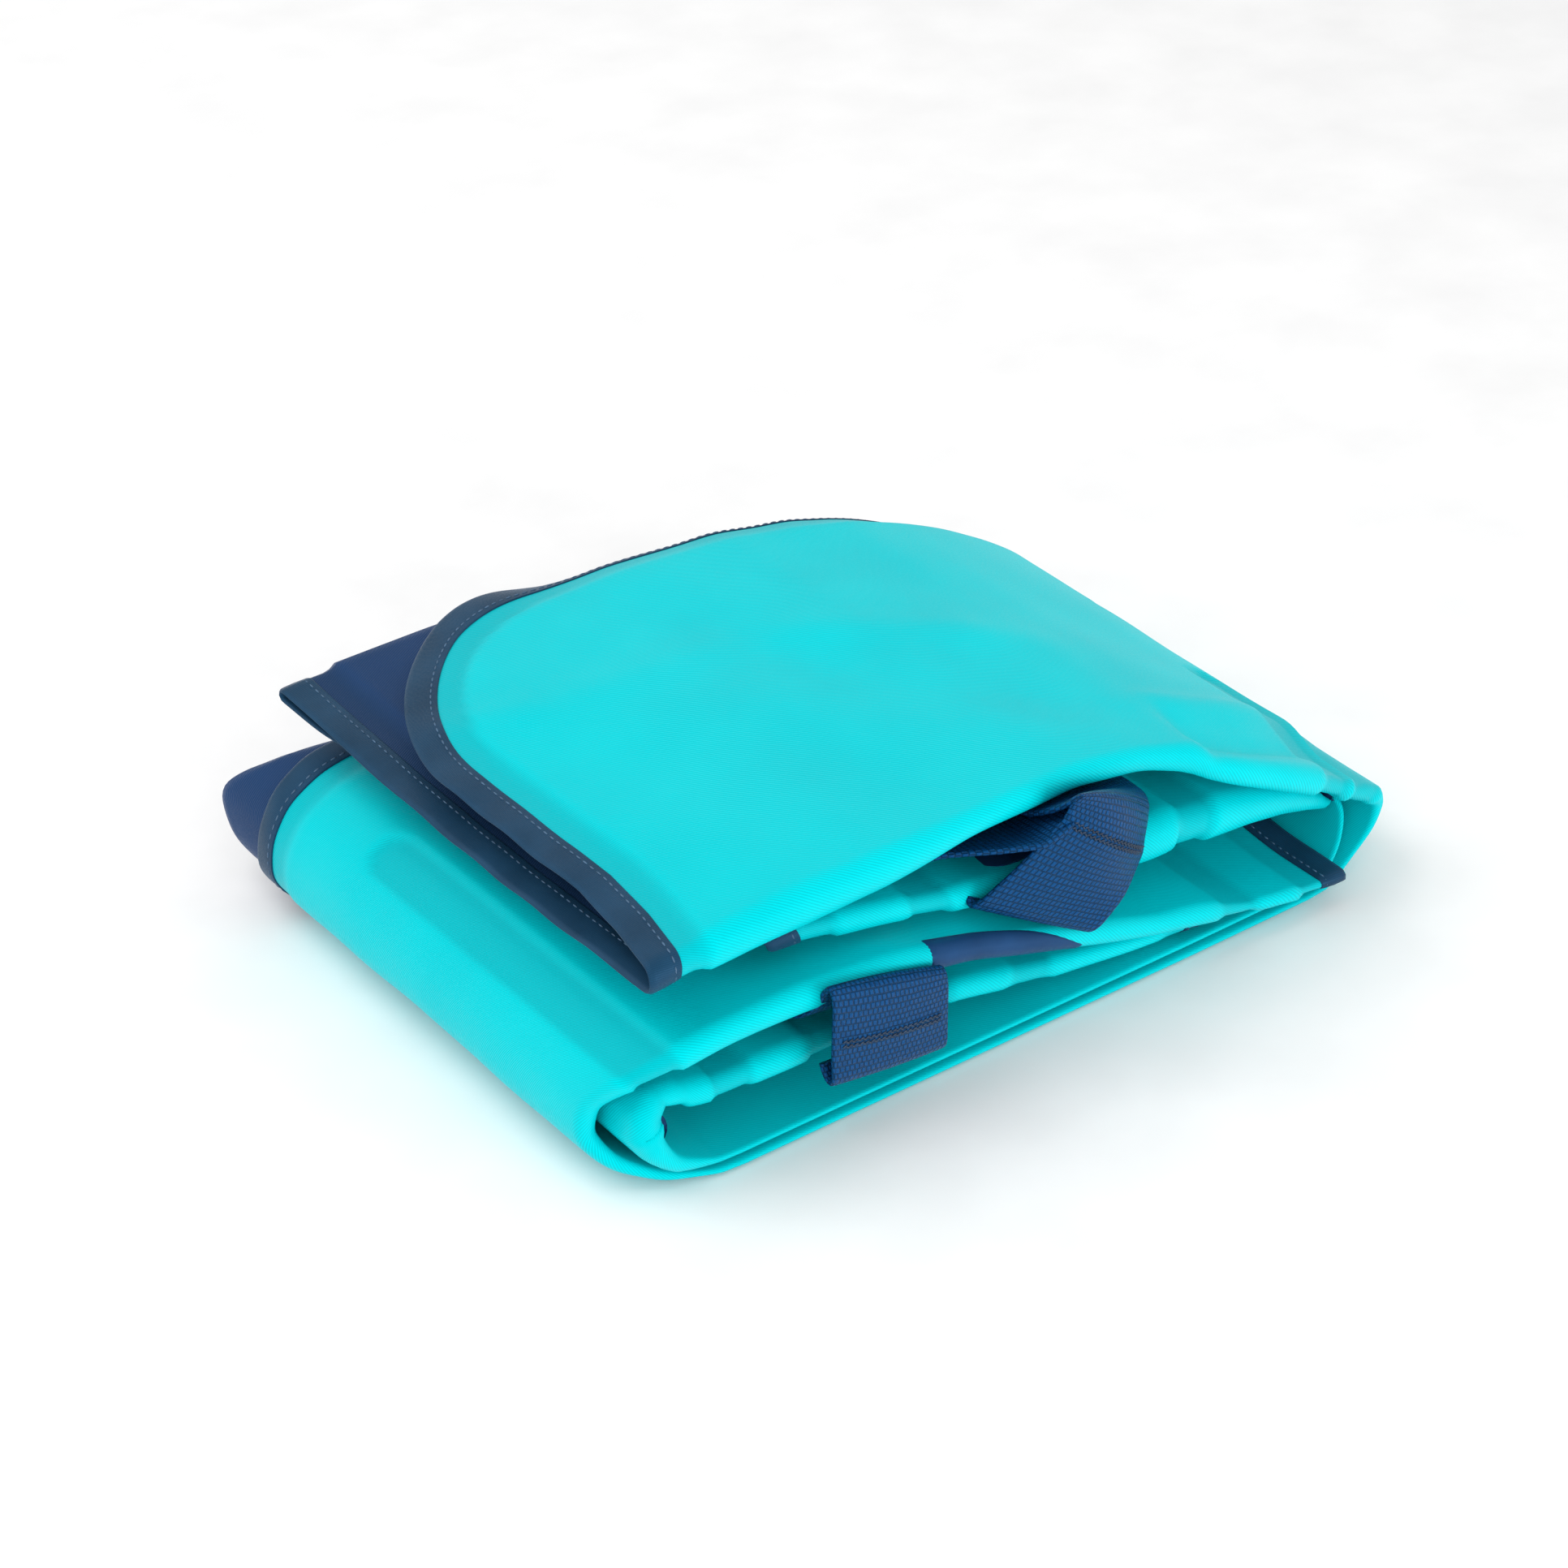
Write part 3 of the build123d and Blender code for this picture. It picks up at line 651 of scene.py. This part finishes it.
def stitchRow(name, edge, inward, material):
    # a row of thread on both faces of the binding; each stitch is a small stretched ball
    s = bindingShape
    bm = bmesh.new()
    inset = s["width"] - s["stitchIn"]
    flat = edge + inward * inset
    lift = puffShape["thin"] + s["tape"] * 1.1
    for side in (1, -1):
        spots = matPoint(flat[:, 0], flat[:, 1], np.full(len(flat), side * lift))
        normals = foldNormal(flat[:, 0], flat[:, 1]) * side
        run = np.concatenate([[0], np.cumsum(np.linalg.norm(np.diff(spots, axis=0), axis=1))])
        for start in np.arange(1.0, run[-1] - s["stitchPitch"], s["stitchPitch"]):
            ends = [[np.interp(start + d, run, spots[:, k]) for k in range(3)] for d in (0, s["stitch"])]
            normal = Vector([np.interp(start + 1, run, normals[:, k]) for k in range(3)]).normalized()
            a, b = Vector(ends[0]), Vector(ends[1])
            along = (b - a).normalized()
            acrossStitch = normal.cross(along).normalized()
            turn = Matrix((along, acrossStitch, along.cross(acrossStitch))).transposed().to_4x4()
            thread = s["thread"] * mm
            size = Matrix.Diagonal((s["stitch"] / 2 * mm, thread * 1.3, thread, 1))
            place = Matrix.Translation((a + b) / 2 * mm) @ turn @ size
            bmesh.ops.create_icosphere(bm, subdivisions=1, radius=1.0, matrix=place)
    return meshPiece(name, bm, material)


def meshPiece(name, bm, material, smooth=True):
    # a finished bmesh as an object at the origin
    for face in bm.faces:
        face.smooth = smooth
    mesh = bpy.data.meshes.new(name)
    bm.to_mesh(mesh)
    bm.free()
    mesh.materials.append(material)
    piece = bpy.data.objects.new(name, mesh)
    bpy.context.scene.collection.objects.link(piece)
    return piece


fullWidth = 4 * layerWidth
nearEdge, farEdge = 0.01, rollLength - 0.01
topEdge, topInward = outlineRun([(joinRun, fullWidth), (nearEdge, fullWidth), (nearEdge, nearEdge),
                                 (joinRun, nearEdge)])
lowEdge, lowInward = outlineRun([(joinRun, nearEdge), (farEdge, nearEdge), (farEdge, fullWidth),
                                 (joinRun, fullWidth)])
topBinding = bindingPiece("topBinding", topEdge, topInward)
lowerBinding = bindingPiece("lowerBinding", lowEdge, lowInward)
topStitches = stitchRow("topBindingStitches", topEdge, topInward, paleThread)
lowerStitches = stitchRow("lowerBindingStitches", lowEdge, lowInward, paleThread)
print("edges bound")


# the two handles' webbing, in millimetres; step is the spacing of sections along it
strapShape = {"thickness": 1.7, "halfWidth": 20.0, "step": 0.8, "columns": 28}


def strapRun(frames):
    # evenly spaced centres, across directions and cupping angles, from a few listed frames
    frames = np.array(frames, float)
    run = np.concatenate([[0], np.cumsum(np.linalg.norm(np.diff(frames[:, :3], axis=0), axis=1))])
    even = np.arange(0, run[-1], strapShape["step"] / 2)
    rows = [smoothed(np.interp(even, run, frames[:, k]), 4 if k < 3 else 9)[::2] for k in range(7)]
    centres, sides = np.stack(rows[:3], -1), np.stack(rows[3:6], -1)
    return centres, sides / np.linalg.norm(sides, axis=1)[:, None], rows[6]


def strapPiece(name, centres, sides, cups, startRun=0.0):
    # flat webbing with rounded selvedges, its section swept along the strap
    along = np.gradient(centres, axis=0)
    along /= np.linalg.norm(along, axis=1)[:, None]
    faces = np.cross(along, sides)
    faces /= np.linalg.norm(faces, axis=1)[:, None]
    half, thick = strapShape["halfWidth"], strapShape["thickness"] / 2
    flat = np.linspace(-half + thick, half - thick, strapShape["columns"])
    turn = np.linspace(math.pi / 2, -math.pi / 2, 6)[1:-1]
    section = [(w, thick) for w in flat]
    section += [(half - thick + thick * math.cos(a), thick * math.sin(a)) for a in turn]
    section += [(w, -thick) for w in flat[::-1]]
    section += [(-half + thick - thick * math.cos(a), -thick * math.sin(a)) for a in turn]
    section = np.array(section + section[:1])
    around = np.concatenate([[0], np.cumsum(np.hypot(*np.diff(section, axis=0).T))])

    def place(i, j):
        i, j = i.astype(int), j.astype(int)
        # the flat section is rolled to an arc of the frame's cupping angle
        bend = half / np.maximum(cups[i], 0.02)
        angle, reachOut = section[j, 0] / bend, bend + section[j, 1]
        w, h = np.sin(angle) * reachOut, np.cos(angle) * reachOut - bend
        spot = centres[i] + sides[i] * w[:, None] + faces[i] * h[:, None]
        return spot, np.stack([startRun + i * strapShape["step"], around[j]], -1)
    piece = gridPiece(name, np.arange(len(centres)), np.arange(len(section)), place, webbingWeave)
    bm = bmesh.new()
    bm.from_mesh(piece.data)
    bmesh.ops.remove_doubles(bm, verts=bm.verts, dist=0.01 * mm)
    bmesh.ops.holes_fill(bm, edges=[e for e in bm.edges if e.is_boundary], sides=0)
    bmesh.ops.recalc_face_normals(bm, faces=bm.faces)
    bm.to_mesh(piece.data)
    bm.free()
    return piece


# bar tack: its distance from the selvedges, its two rows and the size of a stitch, in millimetres
tackShape = {"fromEdge": 3.5, "rows": (-0.8, 0.8), "pitch": 0.9, "zigzag": 0.5,
             "stitch": (0.95, 0.36, 0.34)}


def barTack(name, centres, sides, cups, share):
    # a dense double row of zigzag thread across the strap, share of the way along it
    bm = bmesh.new()
    middle = int(share * (len(centres) - 1))
    along = centres[middle + 1] - centres[middle - 1]
    along /= np.linalg.norm(along)
    side = sides[middle]
    face = np.cross(along, side)
    face /= np.linalg.norm(face)
    bend = strapShape["halfWidth"] / max(cups[middle], 0.02)
    half = strapShape["halfWidth"] - tackShape["fromEdge"]
    size = Matrix.Diagonal([radius * mm for radius in tackShape["stitch"]] + [1])
    for row in tackShape["rows"]:
        for w in np.arange(-half, half, tackShape["pitch"]):
            zig = tackShape["zigzag"] * (1 if round(w / tackShape["pitch"]) % 2 else -1)
            spot = centres[middle] + side * bend * math.sin(w / bend) + along * (row + zig * 0.5)
            spot = spot + face * (strapShape["thickness"] / 2 + 0.1 + bend * (math.cos(w / bend) - 1))
            turn = Matrix((Vector(side + along * zig).normalized(), Vector(along - side * zig).normalized(),
                           Vector(face))).transposed().to_4x4()
            place = Matrix.Translation(Vector(spot) * mm) @ turn @ size
            bmesh.ops.create_icosphere(bm, subdivisions=1, radius=1.0, matrix=place)
    return meshPiece(name, bm, threadFinish)


# centre x, y, z, across direction and cupping angle of each strap, from its patch to its loose end
leftFrames = [(-56.5, -52, 31, 1, 0, 0, 0), (-56.5, -82, 32.5, 1, 0, -0.1, 0),
              (-56.0, -90, 38, 0.98, 0, -0.2, 0), (-55.8, -93, 44, 0.97, 0, -0.23, 0),
              (-55.7, -95.5, 48.0, 0.97, 0, -0.24, 0.1),
              (-55.7, -98.6, 46.5, 0.97, 0, -0.24, 0.15), (-55.7, -99.3, 41, 0.98, 0, -0.2, 0.15),
              (-55.5, -98.8, 30, 0.99, 0, -0.15, 0.15), (-55.0, -97.8, 19.0, 0.99, 0, -0.13, 0.1),
              (-55.0, -95.6, 16.4, 1, 0.04, -0.13, 0), (-55.4, -92.6, 18.4, 1, 0.06, -0.13, 0),
              (-56.0, -91.4, 23.0, 1, 0.06, -0.13, 0)]
rightFrames = [(22, -62, 62, 0.95, 0.3, -0.08, 0), (23, -76, 64.5, 0.92, 0.32, -0.15, 0),
               (25, -87, 68.5, 0.86, 0.3, -0.3, 0), (26.3, -91.5, 71.6, 0.79, 0.25, -0.48, 0.1),
               (26.4, -94.8, 71.2, 0.79, 0.22, -0.52, 0.2),
               (25.0, -97.0, 67.0, 0.79, 0.12, -0.56, 0.5), (21.8, -97.8, 59.6, 0.78, 0.05, -0.6, 0.5),
               (10.0, -95.6, 49.0, 0.84, -0.16, -0.48, 0.25),
               (-0.4, -93.0, 41.6, 0.87, -0.27, -0.42, 0.05),
               (-2.2, -90.4, 39.8, 0.87, -0.27, -0.42, 0), (-1.0, -87.8, 42.0, 0.87, -0.27, -0.42, 0)]
secondLegFrames = [(-36, -52, 58, 0.15, 0.97, -0.14, 0), (-20, -60, 60.0, 0.15, 0.97, -0.18, 0),
                   (-7, -69.5, 60.0, 0.15, 0.96, -0.24, 0), (3, -77, 61.0, 0.2, 0.94, -0.28, 0),
                   (12, -78.5, 64.0, 0.25, 0.92, -0.33, 0), (17, -76, 65.5, 0.3, 0.9, -0.3, 0)]


def handle(side, frames, foldRow):
    # a strap in two pieces that meet at the top of its fold
    centres, sides, cups = strapRun(frames)
    fold = np.array(frames[foldRow][:3])
    split = int(np.argmin(np.linalg.norm(centres - fold, axis=1)))
    tail = strapPiece(side + "HandleTail", centres[:split + 1], sides[:split + 1], cups[:split + 1])
    loop = strapPiece(side + "HandleLoop", centres[split:], sides[split:], cups[split:],
                      split * strapShape["step"])
    return tail, loop, (centres[split:], sides[split:], cups[split:])


leftTail, leftLoop, leftRun = handle("left", leftFrames, 4)
rightTail, rightLoop, rightRun = handle("right", rightFrames, 4)
rightSecondLeg = strapPiece("rightHandleSecondLeg", *strapRun(secondLegFrames))
leftTack = barTack("leftHandleBarTack", *leftRun, share=0.46)
rightTack = barTack("rightHandleBarTack", *rightRun, share=0.27)
print("handles sewn")


# the lens-shaped patch, in millimetres; high and low are its reach above and below the fold
patchShape = {"length": 57.0, "high": 10.0, "low": 6.5, "lift": 0.35, "start": middleRun(-37),
              "belowFold": 3.0}
# the ties between the two skins: how many, where along and across the mat, and their section
stripShape = {"count": 5, "first": -92, "spacing": 40, "across": (46, 150), "step": 4.0,
              "thickness": 0.3, "height": 1.6}


def lensPatch():
    # film patch welded round the middle panel's front fold: square at one end, pointed at the other
    def place(t, w):
        high = patchShape["high"] * (1 - 0.85 * t ** 2.2)
        low = patchShape["low"] * (1 - 0.8 * t ** 2.6)
        u = patchShape["start"] + t * patchShape["length"]
        v = layerWidth + patchShape["belowFold"] + np.where(w < 0, w * high, w * low)
        rim = np.minimum(1, 12 * np.minimum(np.minimum(t, 1 - t) * 4, 1 - abs(w)))
        lift = halfThickness(u, v) - 0.05 + patchShape["lift"] * rim
        return matPoint(u, v, lift), np.stack([u, v], -1)
    return gridPiece("trimPatch", np.linspace(0, 1, 61), np.linspace(-1, 1, 25), place, weldedFilm,
                     flipped=True)


def webStrips():
    # film strips that tie the two skins of the top panel together, along the pleats
    bm = bmesh.new()
    s = stripShape
    places = np.arange(*s["across"], s["step"])
    places = np.append(places, places[-1] + s["step"])
    for number in range(s["count"]):
        run = np.full(len(places), topRun(s["first"] + s["spacing"] * number))
        spots = matPoint(run, places, np.zeros(len(places)))
        for a, b in zip(spots, spots[1:]):
            place = Matrix.Translation(Vector((a + b) / 2) * mm)
            length = np.linalg.norm(b - a)
            size = Matrix.Diagonal((s["thickness"] * mm, length * mm, s["height"] * mm, 1))
            bmesh.ops.create_cube(bm, size=1.0, matrix=place @ size)
    return meshPiece("webStrips", bm, webFilm, smooth=False)


handlePatchCorner = 8 * mm      # radius of its four corners


def handlePatch(name, node, material):
    # a round-cornered film patch that welds a strap's end to the mat
    low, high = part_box(node)
    bm = bmesh.new()
    place = Matrix.Translation((low + high) / 2) @ Matrix.Diagonal(tuple(high - low) + (1,))
    bmesh.ops.create_cube(bm, size=1.0, matrix=place)
    upright = [e for e in bm.edges if abs((e.verts[0].co - e.verts[1].co).normalized().z) > 0.9]
    bmesh.ops.bevel(bm, geom=upright, offset=handlePatchCorner, affect="EDGES", segments=6,
                    profile=0.5, material=-1)
    return meshPiece(name, bm, material, smooth=False)


trimPatch = lensPatch()
webStripPiece = webStrips()
leftPatch = handlePatch("leftHandlePatch", "left_handle_patch", weldedFilm)
rightPatch = handlePatch("rightHandlePatch", "right_handle_patch", weldedFilm)
print("patches welded")


# the top panel's pieces and the two loops have their places baked in; the other pieces are attached to a
# body
for piece in (topPanelFace, topPanelUnderside, topBinding, topStitches):
    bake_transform(piece)
for piece in (lowerMatFace, lowerMatUnderside, lowerBinding, lowerStitches, trimPatch, leftTail,
              leftPatch):
    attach(piece, "base")
for piece in (rightTail, rightSecondLeg, rightPatch, webStripPiece):
    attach(piece, "top_panel")
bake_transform(leftLoop)
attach(leftTack, "left_handle")
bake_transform(rightLoop)
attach(rightTack, "right_handle")

standsFor = {
    topPanelFace: ("right_wrap_upper", "top_flap_upper_face", "top_front_fold", "top_inner_leaf"),
    topPanelUnderside: ("top_flap_lower_face", "top_second_layer", "top_back_fold"),
    topBinding: ("top_flap_binding", "top_second_binding", "top_inner_binding"),
    webStripPiece: ("top_flap_web_strips",),
    lowerMatFace: ("bottom_outer_leaf", "left_bend_outer", "right_wrap_lower", "middle_outer_leaf"),
    lowerMatUnderside: ("bottom_inner_leaf", "left_bend_inner", "middle_inner_leaf", "middle_back_fold"),
    lowerBinding: ("middle_side_binding", "middle_end_binding"),
    trimPatch: ("trim_patch",),
    leftTail: ("left_handle_tail",), leftPatch: ("left_handle_patch",),
    leftLoop: ("left_handle_loop",), leftTack: ("left_handle_stitch",),
    rightTail: ("right_handle_tail",), rightPatch: ("right_handle_patch",),
    rightLoop: ("right_handle_loop",), rightTack: ("right_handle_stitch",),
}
for piece, nodes in standsFor.items():
    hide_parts(*nodes)
finishes = {"valve_flange": mouldedPlastic, "valve_neck": mouldedPlastic, "valve_cap": mouldedPlastic,
            "valve_one_way_disc": valveRubber}
for node, material in finishes.items():
    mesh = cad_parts[node].data
    mesh.materials.clear()
    mesh.materials.append(material)
print("pieces joined to the frame")


# white floor, pale room and three soft lamps: place, size and power
studio = {
    "floor": "#FFFFFF",
    "sky": 0.72,
    "floorHalf": 6.0,
    "aim": (0, 0, 0.04),
    "lamps": {"key": ((-0.7, 0.5, 1.3), 1.1, 9.5),
              "fill": ((-0.9, -1.2, 0.7), 1.2, 5.0),
              "low": ((0.35, -1.5, 0.12), 0.9, 15.0)},
}
view = {"target": (-0.0144, 0.0043, 0.040), "azimuth": -37, "elevation": 33, "distance": 1.25,
        "lens": 100.0, "sensor": 36.0}


def makeStudio():
    bm = bmesh.new()
    bmesh.ops.create_grid(bm, x_segments=1, y_segments=1, size=studio["floorHalf"])
    paper = plainFinish("mattPaper", studio["floor"], "#F8F8F8", 0.85, 300.0, 0.02 * mm)
    floor = meshPiece("floor", bm, paper, smooth=False)
    world = bpy.data.worlds.new("paleRoom")
    world.use_nodes = True
    background = world.node_tree.nodes["Background"]
    background.inputs["Color"].default_value = (1, 1, 1, 1)
    background.inputs["Strength"].default_value = studio["sky"]
    bpy.context.scene.world = world
    for name, (spot, size, power) in studio["lamps"].items():
        lamp = bpy.data.lights.new(name, "AREA")
        lamp.size = size
        lamp.energy = power
        holder = bpy.data.objects.new(name, lamp)
        holder.location = spot
        aim = Vector(studio["aim"]) - Vector(spot)
        holder.rotation_euler = aim.to_track_quat("-Z", "Y").to_euler()
        bpy.context.scene.collection.objects.link(holder)


def makeCamera():
    # looks down at the pack's front left corner through a long lens
    azimuth = math.radians(view["azimuth"])
    elevation = math.radians(view["elevation"])
    back = Vector((math.sin(azimuth) * math.cos(elevation), -math.cos(azimuth) * math.cos(elevation),
                   math.sin(elevation)))
    camera = bpy.data.cameras.new("camera")
    camera.lens = view["lens"]
    camera.sensor_width = view["sensor"]
    holder = bpy.data.objects.new("camera", camera)
    holder.location = Vector(view["target"]) + back * view["distance"]
    holder.rotation_euler = (-back).to_track_quat("-Z", "Y").to_euler()
    bpy.context.scene.collection.objects.link(holder)
    bpy.context.scene.camera = holder


makeStudio()
makeCamera()
bpy.context.scene.view_settings.view_transform = "Standard"
print("studio lit")
